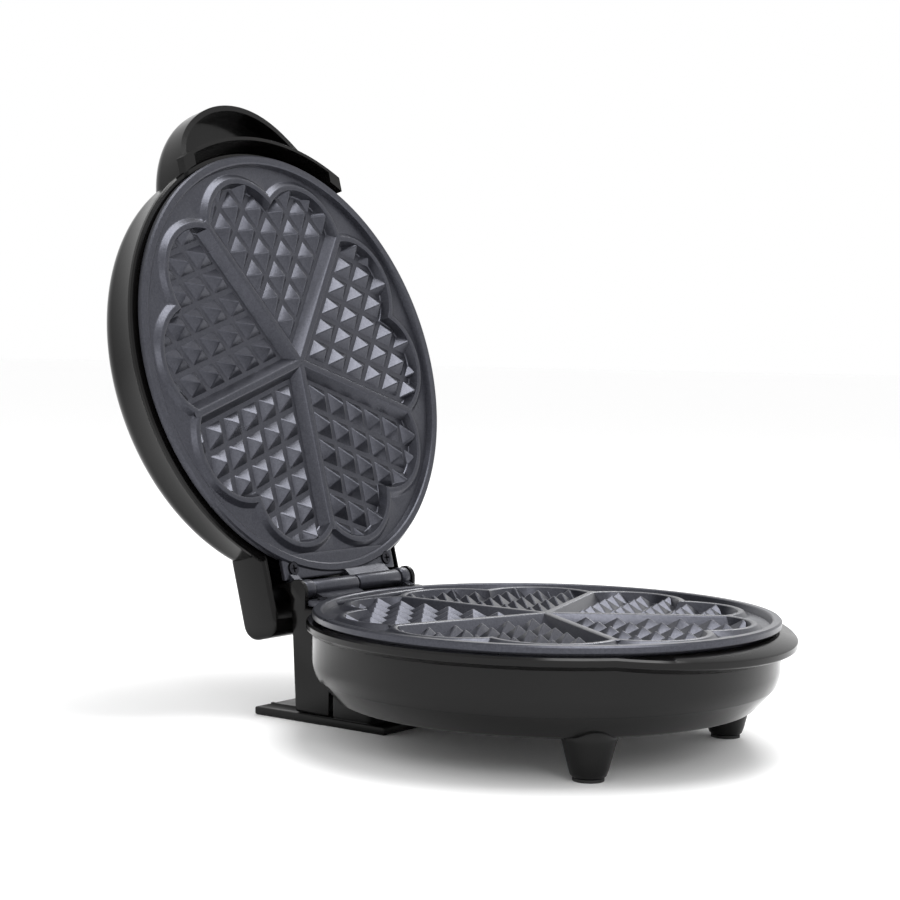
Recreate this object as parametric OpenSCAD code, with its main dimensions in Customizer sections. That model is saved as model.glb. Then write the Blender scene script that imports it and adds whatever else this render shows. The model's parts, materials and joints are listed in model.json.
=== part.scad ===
// Heart waffle maker: two hinged, non-stick plates in round plastic casings.
// +Z is up, -Y is the front. The origin is on the table, under the hinge axis.
// "Plate frame": x across, y towards the hinge, z = 0 on the plate's rim crest.

/* [Plates] */
// Outer radius of each cooking plate
plate_r = 95; // [85:1:115]
// Gap between the two rims when the lid is shut
rim_gap = 7; // [6:0.5:10]
// Width of the raised rim around each plate
rim_w = 4.8; // [3.5:0.1:7]
// Depth of the flat land below the rim crest
land_d = 2.8; // [2:0.1:4]
// Depth of the heart floors below the rim crest
floor_d = 5.1; // [4:0.1:7]
// Depth of rib and bead crests below the rim crest
crest_d = 0.7; // [0.3:0.1:1.5]
// Distance from the plate centre to the middle of a heart's lobe
lobe_reach = 59.8; // [52:0.1:66]
// Angle between a heart's axis and the middle of its lobe
lobe_angle = 17.6; // [14:0.1:18]
// Radius of a lobe's floor
lobe_r = 22.3; // [18:0.1:24]
// Width of the bead around the hearts
bead_w = 6.5; // [4:0.1:8]
// Half width of a rib between two hearts, on the floor
rib_w = 4.65; // [3:0.05:6]
// Distance between two pyramids along a rib
pyramid_pitch = 12.57; // [10:0.01:16]
// Groove between two pyramids
groove_w = 1.7; // [1:0.1:3]
// Thickness of the casting under the heart floors
plate_t = 4.5; // [3.5:0.1:6]

/* [Hinge] */
// Distance from the plate's edge to the hinge axis
hinge_offset = 6.5; // [6:0.1:8]
// Height of the hinge axis above the lower rim crest
hinge_rise = 2.6; // [2:0.1:4]
// How far the lid opens
open_angle = 105.3; // [90:0.1:108]
// Radius of the hinge barrel
barrel_r = 3.8; // [3.5:0.1:4.2]
// Half length of the hinge barrel
barrel_half = 29.3; // [24:0.1:32]
// Radius of the hinge pin
pin_r = 2; // [1.5:0.1:2.2]
// Running clearance of the pin in the barrel
pin_fit = 0.05; // [0.02:0.01:0.1]
// Width of each hinge lug beside the barrel
lug_w = 5.6; // [4:0.1:8]

/* [Base casing] */
// Height of the lower rim crest above the table
rim_h = 52.7; // [48:0.1:60]
// How far each casing's flange stands out past the plate
flange_out = 2.5; // [1.5:0.1:4]
// Distance from the rim crest down to the flange
flange_drop = 4.1; // [3.5:0.1:6]
// Thickness of the flange's edge
flange_t = 3.4; // [2.5:0.1:4.5]
// Wall thickness of the plastic casings
wall = 2.5; // [2:0.1:3]
// Depth of the parting line below the rim crest
parting_d = 26.5; // [24:0.5:29]
// Depth of the casing's bottom below the rim crest
bottom_d = 38; // [36:0.5:41]
// How far the front lip stands out past the plate
lip_out = 8.5; // [5:0.1:12]

/* [Feet] */
// Place of a front foot to each side
foot_x = 53; // [45:0.5:58]
// Place of a front foot forward of the plate centre
foot_y = 55.3; // [46:0.1:58]
// Radius of a front foot at its bottom
foot_r = 6.6; // [5:0.1:8]
// How far the rear foot plate stands out at each side of the tower
stand_out = 1.5; // [0:0.1:8]
// Thickness of the rear foot plate
stand_t = 3.5; // [3:0.1:5]
// Thickness of the rubber pads
pad_t = 1.2; // [0.8:0.1:1.6]

/* [Rear tower] */
// Distance from the hinge axis to the tower's back
tower_out = 3.5; // [2:0.1:3.9]
// How much the tower's back slants from top to bottom
tower_slant = 3; // [0:0.5:4]

/* [Lid casing] */
// Depth of the lid's side, from the rim crest to its top edge
lid_edge_d = 26.7; // [24:0.1:30]
// Rise of the lid's top above its edge, at the middle
lid_crown = 6.3; // [3:0.1:10]
// Radius of the rounding round the lid's top edge
lid_round = 8; // [5:0.5:10]
// Radius of the handle hood
hood_r = 50; // [46:0.5:58]
// Distance from the plate's edge in to the middle of the hood's curve
hood_set = 22.8; // [18:0.1:28]
// Depth of the finger hollow's ceiling
ceiling_d = 20; // [17:0.5:21]
// How far the guard stands out past the plate
guard_out = 8.5; // [6:0.1:10]
// Half width of the guard
guard_half = 51.6; // [44:0.1:54]
// Thickness of the guard
guard_t = 1.5; // [1.2:0.1:2]
// Width of the guard's solid ends
guard_end = 7; // [2:0.5:9]
// How far the shroud stands out at each side of the tower
shroud_side = 7; // [4:0.5:10]
// Distance from the hinge axis to the shroud's end
shroud_out = 17.1; // [15:0.1:20]
// Depth of the shroud's open edge
shroud_edge_d = 3.9; // [3.5:0.1:5]
// Depth of the shroud's back
shroud_back_d = 23.5; // [21:0.5:26]

/* [Inside] */
// Radius of the heating element's loop
element_loop_r = 58; // [48:0.5:64]
// Radius of the heating element's tube
element_r = 3.2; // [2.5:0.1:4]
// Thickness of a heat shield
shield_t = 0.6; // [0.4:0.1:1]
// Radius of a fixing screw's thread
screw_r = 1.5; // [1.2:0.1:2]
// Radius of a fixing screw's head
head_r = 2.75; // [2.4:0.05:3.5]
// Height of a fixing screw's head
head_h = 1.9; // [1.4:0.1:2.6]

/* [Hidden] */
$fn = 96;
gap = 0.3;                       // clearance between parts that don't touch
step = 0.02;                     // overlap of joined shapes inside one part
heart_count = 5;
heart_step = 360 / heart_count;
tab_top = 0.8;                   // tab's top below the rim crest
tab_t = 2.9;
hinge_reach = plate_r + hinge_offset;
tab_edge = hinge_reach - 5.2;
tab_half = barrel_half + lug_w + 2.1;
tab_screw_x = tab_half - 5.4;
screw_seat = 1.2;                // depth of the screw heads' seats in the tab
lug_in = barrel_half + 0.5;      // a lug at the barrel's far end
lug_r = 4.3;
cheek_in = tab_half - 1.2;
lug_out = cheek_in - 0.4;
tower_half = tab_half + 1;
stand_half = tower_half + stand_out;
shroud_half = tower_half + shroud_side;
shroud_end = hinge_reach + shroud_out;
guard_r = plate_r + guard_out;
hood_reach = plate_r - hood_set;
tab_screw_y = tab_edge - 4.8;
plate_bottom = floor_d + plate_t;
skirt_r = plate_r - wall - 1.3;
lip_under = 2.7;                 // height of the plate's overhanging edge
flange_r = plate_r + flange_out;
post_r = 4;
post_reach = plate_r - 17;
post_h = 9.5;
post_angles = [200, 340];
post_end = plate_bottom + post_h;  // the heat shield is clamped at the posts' ends
shield_r = post_reach + post_r + 3;
seat_z = post_end + shield_t;
element_gap_angle = 40;
lamp_x = 9;
lamp_y = -34;
lamp_r = 3.5;
tower_front = plate_r - 13.3;
tower_back = hinge_reach + tower_out;
tower_d = rim_h - stand_t;       // the tower stands on the foot plate
stand_screw_y = plate_r - 25.5;
foot_top_r = foot_r + 4.2;
lip_centre = 20;
hood_apex = hood_reach + hood_r;
liner_t = 1.8;

// ---- places ----
module on_base() {
    translate([0, -hinge_reach, rim_h]) children();
}

// the lid's own frame: y towards the hinge, z away from the cooking face
module on_lid() {
    translate([0, 0, rim_h + hinge_rise])
        rotate([-open_angle, 0, 0])
            translate([0, -hinge_reach, rim_gap - hinge_rise]) children();
}

// turns a lower-plate piece over to make the upper one
module face_down() {
    rotate([0, 180, 0]) children();
}

// extrudes a (y, z) outline along x, centred
module across(width) {
    rotate([90, 0, 90]) linear_extrude(width, center = true) children();
}

// ---- cooking plates ----
module heart_outline(grow) {
    lobe = lobe_reach * [sin(lobe_angle), cos(lobe_angle)];
    for (side = [-1, 1])
        translate([side * lobe[0], lobe[1]]) circle(lobe_r + grow);
    // the cone of the heart, from the plate centre out to the lobes
    half = heart_step / 2;
    far = lobe_reach * cos(half - lobe_angle);
    polygon([[0, 0], far * [-sin(half), cos(half)], lobe_reach * [0, 0.97], far * [sin(half), cos(half)]]);
}

module heart_sector(inset) {
    half = heart_step / 2;
    translate([0, inset / sin(half)])
        polygon([[0, 0], plate_r * [-sin(half), cos(half)], plate_r * [0, 1.2], plate_r * [sin(half), cos(half)]]);
}

module heart_floor(grow) {
    intersection() {
        heart_outline(grow);
        heart_sector(rib_w - grow);
    }
}

// true where a point lies on a heart's floor, clear of its bead
function on_floor(p) =
    let (lobe = lobe_reach * [sin(lobe_angle), cos(lobe_angle)])
    norm(p) < 0.8 * lobe_reach || norm([abs(p[0]), p[1]] - lobe) < lobe_r;

// rows of pyramids along the directions of the heart's two ribs
module pyramids() {
    half = heart_step / 2;
    rows = ceil((lobe_reach + lobe_r) / (pyramid_pitch * cos(half)));
    side = pyramid_pitch - groove_w / sin(heart_step);
    start = (rib_w + groove_w / 2) / sin(half);
    u = [-sin(half), cos(half)];
    w = [sin(half), cos(half)];
    for (i = [0 : rows - 1])
        for (j = [0 : rows - 1])
            let (c = [0, start] + (i + 0.5) * pyramid_pitch * u + (j + 0.5) * pyramid_pitch * w,
                 corners = [for (k = [[-1, -1], [1, -1], [1, 1], [-1, 1]]) c + side / 2 * (k[0] * u + k[1] * w)])
                if (len([for (p = corners) if (on_floor(p)) p]) == 4)
                    translate([0, 0, -floor_d - step])
                        linear_extrude(floor_d - crest_d - 1) polygon(corners);
}

module plate_casting(barrel_z) {
    difference() {
        union() {
            rotate_extrude()
                polygon([[0, -plate_bottom], [skirt_r, -plate_bottom], [skirt_r, -lip_under],
                         [plate_r, -lip_under], [plate_r, -0.6], [plate_r - 0.6, 0],
                         [plate_r - rim_w + 1.2, 0], [plate_r - rim_w, -land_d], [0, -land_d]]);
            // beads round the hearts, and the ribs between them
            for (k = [0 : heart_count - 1])
                rotate([0, 0, 180 + heart_step * k])
                    translate([0, 0, -land_d - step])
                        linear_extrude(land_d - crest_d + step)
                            heart_outline(bead_w - 2);
            // tab and hinge barrel
            translate([-tab_half, plate_r - rim_w - 6, -tab_top - tab_t])
                cube([2 * tab_half, tab_edge - plate_r + rim_w + 6, tab_t]);
            translate([-barrel_half, 0, 0]) arm(barrel_half - 0.4, barrel_r, barrel_z);
            translate([lug_in, 0, 0]) arm(lug_out - lug_in, lug_r, barrel_z);
            for (a = post_angles)
                rotate([0, 0, a]) translate([post_reach, 0, -plate_bottom - post_h])
                    cylinder(r = post_r, h = post_h + step);
        }
        for (k = [0 : heart_count - 1])
            rotate([0, 0, 180 + heart_step * k])
                translate([0, 0, -floor_d]) linear_extrude(floor_d + 1) heart_floor(0);
        translate([-tab_half, hinge_reach, barrel_z]) rotate([0, 90, 0])
            cylinder(r = pin_r + pin_fit, h = 2 * tab_half);
        for (side = [-1, 1])
            translate([side * tab_screw_x, tab_screw_y, -tab_top - tab_t - 1]) {
                cylinder(r = screw_r + gap, h = tab_t + 4);
                translate([0, 0, tab_t + 1 - screw_seat]) cylinder(r = head_r + gap, h = 4);
            }
        for (a = post_angles)
            rotate([0, 0, a]) translate([post_reach, 0, -plate_bottom - post_h - 1])
                cylinder(r = screw_r, h = post_h - 0.5);
    }
    for (k = [0 : heart_count - 1])
        rotate([0, 0, 180 + heart_step * k]) pyramids();
}

// a length of barrel or a lug, and the arm that joins it to the tab
module arm(length, radius, barrel_z) {
    rotate([90, 0, 90]) linear_extrude(length) {
        translate([hinge_reach, barrel_z]) circle(radius);
        polygon([[tab_edge - 3, -tab_top - tab_t], [tab_edge, -tab_top - tab_t],
                 [hinge_reach + radius * 0.5, barrel_z - radius * 0.86],
                 [hinge_reach - radius * 0.88, barrel_z - radius * 0.4],
                 [tab_edge - 3, -tab_top]]);
    }
}

module lower_plate() {
    color("#3a4048") on_base() plate_casting(hinge_rise);
}

module upper_plate() {
    color("#3a4048") on_lid() face_down() plate_casting(rim_gap - hinge_rise);
}

// ---- heating ----
module element() {
    z = -plate_bottom - element_r;
    leg = element_loop_r * cos(element_gap_angle / 2);
    translate([0, 0, z]) rotate([0, 0, 90 + element_gap_angle / 2])
        rotate_extrude(angle = 360 - element_gap_angle)
            translate([element_loop_r, 0]) circle(element_r);
    // straight legs towards the hinge, with their terminal pins
    for (side = [-1, 1])
        translate([side * element_loop_r * sin(element_gap_angle / 2), leg - element_r, z]) rotate([-90, 0, 0]) {
            cylinder(r = element_r, h = 16);
            cylinder(r = 1.2, h = 22);
        }
}

module element_clamps() {
    for (a = [-90, 10, 170])
        rotate([0, 0, a]) translate([element_loop_r, 0, -plate_bottom - 2 * element_r])
            difference() {
                translate([-11, -5, -1.2]) cube([22, 10, 2 * element_r + 1.2]);
                translate([0, 6, element_r]) rotate([90, 0, 0]) cylinder(r = element_r + gap / 3, h = 12);
                translate([-element_r - gap / 3, -6, element_r]) cube([2 * element_r + 2 * gap / 3, 12, element_r + 1]);
                for (side = [-1, 1])
                    translate([side * 8 - 3.6, -6, 0.6]) cube([7.2, 12, element_r * 2 - 1.8]);
            }
}

module heat_shield() {
    difference() {
        translate([0, 0, -post_end]) rotate_extrude()
            polygon([[0, -shield_t], [shield_r - 2, -shield_t], [shield_r, 3], [shield_r - shield_t, 3],
                     [shield_r - 2 - shield_t / 2, 0], [0, 0]]);
        for (a = post_angles)
            rotate([0, 0, a]) translate([post_reach, 0, -seat_z - 1]) cylinder(r = screw_r + gap, h = 4);
        translate([0, 0, -seat_z - 1]) cylinder(r = 13, h = 4);
    }
}

module lower_element() { color("#6b6661") on_base() element(); }
module upper_element() { color("#6b6661") on_lid() face_down() element(); }
module lower_element_clamps() { color("silver") on_base() element_clamps(); }
module upper_element_clamps() { color("silver") on_lid() face_down() element_clamps(); }
module lower_heat_shield() { color("gainsboro") on_base() heat_shield(); }
module upper_heat_shield() { color("gainsboro") on_lid() face_down() heat_shield(); }

module thermostat() {
    color("white") on_base() translate([0, 0, -plate_bottom - 10]) {
        cylinder(r = 11, h = 10);
        for (side = [-1, 1]) translate([side * 6 - 3, -0.4, -6]) cube([6, 0.8, 6 + step]);
    }
}

module thermal_fuse() {
    color("silver") on_base() translate([-28, -14, -plate_bottom - 2]) rotate([0, 90, 0]) {
        cylinder(r = 2, h = 11);
        translate([0, 0, -7]) cylinder(r = 0.5, h = 25);
    }
}

module terminal_block() {
    color("ivory") on_base() translate([-15, 40, -bottom_d + wall])
        difference() {
            cube([30, 12, 9]);
            for (k = [0 : 2]) translate([5 + 10 * k, -1, 5]) rotate([-90, 0, 0]) cylinder(r = 1.8, h = 14);
        }
}

// ---- screws ----
module pan_screw(length) {
    difference() {
        union() {
            cylinder(r = head_r, h = head_h);
            translate([0, 0, -length]) cylinder(r = screw_r, h = length + step);
        }
        for (a = [0, 90])
            rotate([0, 0, a]) translate([-head_r * 0.62, -0.4, head_h - 1.1]) cube([head_r * 1.24, 0.8, 2]);
    }
}

module tab_screws() {
    for (side = [-1, 1])
        translate([side * tab_screw_x, tab_screw_y, -tab_top - screw_seat]) pan_screw(9);
}

module lower_tab_screws() { color("dimgray") on_base() tab_screws(); }
module upper_tab_screws() { color("dimgray") on_lid() face_down() tab_screws(); }

module base_cover_screws() {
    color("dimgray") on_base()
        for (a = post_angles)
            rotate([0, 0, a]) translate([post_reach, 0, -seat_z - wall]) rotate([180, 0, 0]) pan_screw(8);
}

module upper_shield_screws() {
    color("dimgray") on_lid() face_down()
        for (a = post_angles)
            rotate([0, 0, a]) translate([post_reach, 0, -seat_z]) rotate([180, 0, 0]) pan_screw(6);
}

// ---- base casing ----
cover_points = [[plate_r - 2, -parting_d], [plate_r - 9.5, -bottom_d + 2.9],
                [plate_r - 14.2, -bottom_d + 1.7], [plate_r - 19, -bottom_d + 0.8],
                [plate_r - 25, -bottom_d]];

module tower_outline(grow) {
    top = flange_drop;
    polygon([[tower_front - grow, -tower_d - grow], [tower_back - tower_slant + grow, -tower_d - grow],
             [tower_back + grow, -top + grow], [tower_front - grow, -top + grow]]);
}

module base_body() {
    rotate_extrude()
        polygon([[0, -flange_drop], [flange_r, -flange_drop], [flange_r, -flange_drop - flange_t],
                 [plate_r, -flange_drop - flange_t - 1.5], [plate_r, -parting_d + 6.5],
                 [plate_r - 0.7, -parting_d + 3.5], [plate_r - 2, -parting_d], [0, -parting_d]]);
}

// wedge-shaped rest for the thumb: a ring about a point in front of the plate's centre
module front_lip() {
    lip_r = plate_r + lip_out - lip_centre;
    translate([0, -lip_centre, 0]) rotate_extrude()
        polygon([[lip_r - 12, -flange_drop - 1], [lip_r - 5.5, -flange_drop - 1], [lip_r - 1, -flange_drop - 3.4],
                 [lip_r, -flange_drop - 4.4], [lip_r - 0.6, -flange_drop - 5.6],
                 [lip_r - 12, -flange_drop - 12]]);
}

// cheeks at both ends of the hinge; they hold the ends of the pin
module cheeks() {
    cheek_r = pin_r + 2.8;
    thickness = tower_half - cheek_in;
    for (side = [-1, 1])
        translate([side * (cheek_in + thickness / 2), 0, 0]) across(thickness) {
            translate([hinge_reach, hinge_rise]) circle(cheek_r);
            polygon([[tab_edge + 0.4, -flange_drop - wall], [tower_back, -flange_drop - wall],
                     [tower_back, -0.4], [tower_back + 3.3, hinge_rise + 0.4],
                     [tower_back + 7.6, hinge_rise + 0.6], [tower_back + 7.6, hinge_rise + 1.4],
                     [hinge_reach + 2, hinge_rise + 3.6], [hinge_reach - 4.6, hinge_rise - 0.6],
                     [tab_edge + 0.4, -tab_top - 1.6]]);
        }
}

module base_shell() {
    color("#1b1c1e") on_base() difference() {
        union() {
            difference() {
                union() {
                    base_body();
                    front_lip();
                }
                translate([0, 0, -parting_d - 1])
                    cylinder(r = plate_r - 2 - wall, h = parting_d - flange_drop - flange_t + 1);
                translate([0, 0, -parting_d]) cylinder(r = skirt_r + 1, h = parting_d);
            }
            difference() {
                across(2 * tower_half) tower_outline(0);
                across(2 * (tower_half - wall)) tower_outline(-wall);
                // open inside the casing and underneath
                translate([-tower_half + wall, 0, -tower_d - 1])
                    cube([2 * (tower_half - wall), tower_front + wall + 1, tower_d - flange_drop - wall + 1]);
                translate([-tower_half + wall, tower_front + wall, -tower_d - 1])
                    cube([2 * (tower_half - wall), tower_back - tower_front - 2 * wall - tower_slant, 2 * wall]);
                translate([0, 0, -tower_d - 1]) cylinder(r = skirt_r + 1, h = tower_d - parting_d + 1);
                translate([0, 0, -parting_d - step]) cylinder(r = skirt_r + 1, h = parting_d + 1);
            }
            cheeks();
            // bosses under the plate's tab
            for (side = [-1, 1])
                intersection() {
                    translate([side * tab_screw_x, tab_screw_y, -tab_top - tab_t - 14])
                        cylinder(r = 4, h = 14);
                    union() {
                        translate([-tower_half, skirt_r - 10, -tower_d])
                            cube([2 * tower_half, tower_back - skirt_r + 8, tower_d]);
                    }
                }
            // lugs that carry the plate's posts
            for (a = post_angles)
                rotate([0, 0, a]) difference() {
                    translate([post_reach - 6, -6, -seat_z - wall])
                        cube([plate_r - post_reach + 4.5, 12, wall]);
                    translate([post_reach, 0, -seat_z - wall - 1])
                        cylinder(r = screw_r + gap, h = wall + 2);
                }
        }
        for (side = [-1, 1])
            translate([side * tab_screw_x, tab_screw_y, -tab_top - 11]) cylinder(r = screw_r, h = 11);
        translate([-cheek_in - 1, hinge_reach, hinge_rise]) rotate([0, 90, 0])
            cylinder(r = pin_r, h = 2 * cheek_in + 2);
        // hole for the cord bush
        translate([0, tower_back - 8, -tower_d + 12]) rotate([-90, 0, 0]) cylinder(r = 5, h = 12);
    }
}

module cover_outer(depth) {
    translate([0, 0, 0]) rotate_extrude()
        polygon(concat([[0, -parting_d]], cover_points, [[0, -bottom_d - depth]]));
}

module base_cover() {
    color("#18191b") on_base() difference() {
        cover_outer(0);
        rotate_extrude()
            polygon([[0, -parting_d + 1], [plate_r - 2 - wall, -parting_d + 1], [plate_r - 2 - wall, -parting_d],
                     [plate_r - 10.4 - wall, -bottom_d + 4.4], [plate_r - 25, -bottom_d + wall],
                     [0, -bottom_d + wall]]);
        across(2 * tower_half + 2 * gap) tower_outline(gap);
        for (side = [-1, 1])
            translate([side * 20, stand_screw_y, -bottom_d - 1]) cylinder(r = screw_r, h = 6);
    }
}

module tower_cover() {
    color("#18191b") on_base() difference() {
        translate([-tower_half + wall, tower_front + wall, -tower_d])
            cube([2 * (tower_half - wall), tower_back - tower_front - 2 * wall - tower_slant, 2]);
        for (k = [-2 : 2]) translate([k * 12 - 4, tower_front + wall + 4, -tower_d - 1]) cube([8, 1.5, 4]);
    }
}

// ---- feet ----
module foot_plate() {
    back = hinge_reach + 22;
    front = plate_r - 43;
    block = plate_r - 35;
    corner = 5;
    color("#151617") on_base() translate([0, 0, -rim_h]) difference() {
        union() {
            linear_extrude(stand_t) {
                translate([-stand_half + corner, front + 10]) square([2 * (stand_half - corner), back - front - 10]);
                translate([-stand_half, front + 10]) square([2 * stand_half, back - front - 10 - corner]);
                for (side = [-1, 1])
                    translate([side * (stand_half - corner), back - corner]) circle(corner);
                polygon([[-stand_half, front + 11], [-stand_half, front + 9], [-stand_half + 1.5, front + 4],
                         [-stand_half + 4, front + 1.5], [-stand_half + 9, front], [stand_half - 9, front],
                         [stand_half - 4, front + 1.5], [stand_half - 1.5, front + 4],
                         [stand_half, front + 9], [stand_half, front + 11]]);
            }
            // block that carries the casing's bottom
            linear_extrude(rim_h - bottom_d) {
                translate([-tower_half - 1, block]) square([2 * tower_half + 2, 16]);
                translate([-tower_half + 4, block]) square([2 * tower_half - 8, 21]);
                for (side = [-1, 1])
                    translate([side * (tower_half - 4), block + 16]) circle(5);
            }
        }
        for (side = [-1, 1]) {
            translate([side * 20, stand_screw_y, -1]) cylinder(r = screw_r + gap, h = 30);
            translate([side * 20, stand_screw_y, -1]) cylinder(r = head_r + gap, h = head_h + 3);
            translate([side * 28, back - 12, -1]) cylinder(r = 6, h = 1 + pad_t);
        }
    }
}

module foot_plate_screws() {
    color("dimgray") on_base()
        for (side = [-1, 1])
            translate([side * 20, stand_screw_y, -rim_h + head_h + 2])
                rotate([180, 0, 0]) pan_screw(rim_h - bottom_d - head_h + 2);
}

module front_feet() {
    color("#151617") on_base() difference() {
        for (side = [-1, 1])
            translate([side * foot_x, -foot_y, -rim_h + pad_t]) {
                cylinder(r1 = foot_r, r2 = foot_r + 1.6, h = 4);
                translate([0, 0, 4]) cylinder(r1 = foot_r + 1.6, r2 = foot_top_r, h = rim_h - bottom_d - pad_t - 4);
                translate([0, 0, rim_h - bottom_d - pad_t]) cylinder(r = foot_top_r, h = 6);
            }
        cover_outer(0);
    }
}

module foot_pads() {
    color("#202020") on_base() {
        for (side = [-1, 1]) {
            translate([side * foot_x, -foot_y, -rim_h]) cylinder(r = foot_r - 0.6, h = pad_t);
            translate([side * 28, hinge_reach + 10, -rim_h]) cylinder(r = 6, h = pad_t);
        }
    }
}

module cord_bush() {
    color("#222222") on_base()
        translate([0, tower_back - tower_slant - wall - 2, -tower_d + 12]) rotate([-90, 0, 0]) difference() {
            union() {
                cylinder(r = 5, h = wall + 6);
                cylinder(r = 6.5, h = 1.2);
            }
            translate([0, 0, -1]) cylinder(r = 3.2, h = wall + 10);
        }
}

// ---- hinge ----
module hinge_pin() {
    color("silver") on_base() translate([-cheek_in - 0.9, hinge_reach, hinge_rise])
        rotate([0, 90, 0]) cylinder(r = pin_r, h = 2 * cheek_in + 1.8);
}

module pin_clips() {
    color("silver") on_base()
        for (side = [-1, 1])
            translate([side * (lug_out + cheek_in) / 2, hinge_reach, hinge_rise]) rotate([0, 90, 0])
                difference() {
                    cylinder(r = barrel_r - 0.3, h = 0.3, center = true);
                    cylinder(r = pin_r, h = 2, center = true);
                }
}

// ---- lid casing ----
function round_corner(r, cx, cy, from, to) = [for (k = [0 : 8])
    let (a = from + (to - from) * k / 8) [cx + r * cos(a), cy + r * sin(a)]];

module lid_drum() {
    mid = lid_edge_d + lid_crown;
    rotate_extrude()
        polygon(concat([[0, flange_drop], [flange_r, flange_drop], [flange_r, flange_drop + 2.4],
                        [plate_r, flange_drop + 3.4]],
                       round_corner(lid_round, plate_r - lid_round, lid_edge_d - lid_round, 0, 82),
                       [[plate_r * 0.6, mid - lid_crown * 0.35], [plate_r * 0.3, mid - lid_crown * 0.08], [0, mid]]));
}

module lid_inner() {
    mid = lid_edge_d + lid_crown - wall;
    rotate_extrude()
        polygon([[0, 0], [skirt_r + 1, 0], [skirt_r + 1, flange_drop + 3.4], [plate_r - wall, flange_drop + 5],
                 [plate_r - wall, lid_edge_d - lid_round], [plate_r - lid_round, lid_edge_d - wall - 1],
                 [plate_r * 0.6, mid - lid_crown * 0.4], [plate_r * 0.3, mid - lid_crown * 0.1], [0, mid]]);
}

module hood_outer(shrink) {
    r = hood_r - shrink;
    translate([0, -hood_reach, 0]) rotate_extrude()
        polygon(concat([[0, -1], [r, -1]],
                       round_corner(lid_round - shrink, r - lid_round + shrink, lid_edge_d - lid_round, 0, 90),
                       [[0, lid_edge_d - shrink]]));
}

// everything in front of the hood's curved, slanting edge
module hood_cut() {
    across(4 * hood_r)
        polygon([[0, flange_drop], [-plate_r + 6.3, flange_drop], [-plate_r, 7], [-plate_r - 7, 9.5],
                 [-plate_r - 15, 10.8], [-hood_apex - 1, 11], [-hood_apex - 20, 11],
                 [-hood_apex - 20, -20], [0, -20]]);
}

module shroud_outline(shrink, edge) {
    corner = 7;
    end = shroud_end - corner;
    polygon(concat([[plate_r - 20, edge]], shrink > 0 ? [[end, edge]] : [],
                   round_corner(corner - shrink, end, shroud_edge_d + corner, -90, 0),
                   round_corner(corner - shrink, end, shroud_back_d - corner, 0, 90),
                   [[plate_r - 20, shroud_back_d - shrink]]));
}

module lid_shell() {
    color("#1b1c1e") on_lid() difference() {
        union() {
            difference() {
                union() {
                    lid_drum();
                    intersection() {
                        hood_outer(0);
                        translate([-2 * hood_r, -2 * hood_apex, -2]) cube([4 * hood_r, 2 * hood_apex - hood_reach, 80]);
                    }
                    across(2 * shroud_half) shroud_outline(0, shroud_edge_d);
                }
                lid_inner();
                difference() {
                    intersection() {
                        hood_outer(wall);
                        translate([-2 * hood_r, -2 * hood_apex, -2])
                            cube([4 * hood_r, 2 * hood_apex - hood_reach, 80]);
                    }
                    // the drum's own wall stays, behind the hollow
                    translate([0, 0, flange_drop]) cylinder(r = plate_r, h = lid_edge_d);
                }
                hood_cut();
                difference() {
                    across(2 * (shroud_half - wall)) shroud_outline(wall, shroud_edge_d - 2);
                    translate([-shroud_half, 0, lid_edge_d - lid_round]) cube([2 * shroud_half, plate_r - 2, 20]);
                }
                translate([-tower_half - gap, plate_r - 25, -1]) cube([2 * tower_half + 2 * gap, 25, flange_drop + 6]);
            }
            // bosses for the tab screws
            for (side = [-1, 1])
                translate([side * tab_screw_x, tab_screw_y, tab_top + tab_t])
                    cylinder(r = 4, h = shroud_back_d - tab_top - tab_t - 1);
        }
        for (side = [-1, 1])
            translate([side * tab_screw_x, tab_screw_y, 0]) cylinder(r = screw_r, h = 11);
        for (side = [-1, 1])
            translate([side * lamp_x, lamp_y, lid_edge_d - 10]) cylinder(r = lamp_r, h = 30);
    }
}

// thin curved guard that keeps fingers off the plate, with a solid end at each side
module finger_guard() {
    color("#1b1c1e") on_lid() difference() {
        intersection() {
            union() {
                difference() {
                    cylinder(r = guard_r, h = ceiling_d);
                    translate([0, 0, -1]) cylinder(r = guard_r - guard_t, h = ceiling_d + 2);
                }
                for (side = [-1, 1])
                    translate([side * (guard_half - guard_end / 2) - guard_end / 2, -guard_r, 0])
                        cube([guard_end, guard_r, ceiling_d]);
            }
            cylinder(r = guard_r, h = ceiling_d);
            translate([-guard_half, -2 * guard_r, 0])
                cube([2 * guard_half, 2 * guard_r - hood_reach, ceiling_d]);
            // inside the hood, or in front of its edge
            union() {
                hood_outer(wall);
                hood_cut();
            }
        }
        translate([0, 0, -1]) cylinder(r = flange_r, h = ceiling_d + 2);
    }
}

// ceiling of the finger hollow
module grip_liner() {
    color("#202123") on_lid() difference() {
        translate([0, -hood_reach, ceiling_d]) cylinder(r = hood_r - wall, h = liner_t);
        translate([0, 0, ceiling_d - 1]) cylinder(r = plate_r, h = liner_t + 2);
        difference() {
            translate([0, -hood_reach, 0]) cylinder(r = hood_r + 5, h = 60);
            hood_outer(wall);
        }
        translate([-guard_r, -hood_reach, ceiling_d - 1]) cube([2 * guard_r, guard_r, liner_t + 2]);
    }
}

module lamp_lenses() {
    mid = lid_edge_d + lid_crown;
    color("firebrick") on_lid()
        for (side = [-1, 1])
            translate([side * lamp_x, lamp_y, mid - 6.5]) {
                cylinder(r = lamp_r, h = 5.8);
                translate([0, 0, 5.8]) cylinder(r1 = lamp_r, r2 = lamp_r - 0.8, h = 0.8);
            }
}

module lamp_holder() {
    mid = lid_edge_d + lid_crown;
    color("tan") on_lid() translate([-lamp_x - 6, lamp_y - 6, mid - 8.1]) cube([2 * lamp_x + 12, 12, 1.6]);
}

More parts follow.
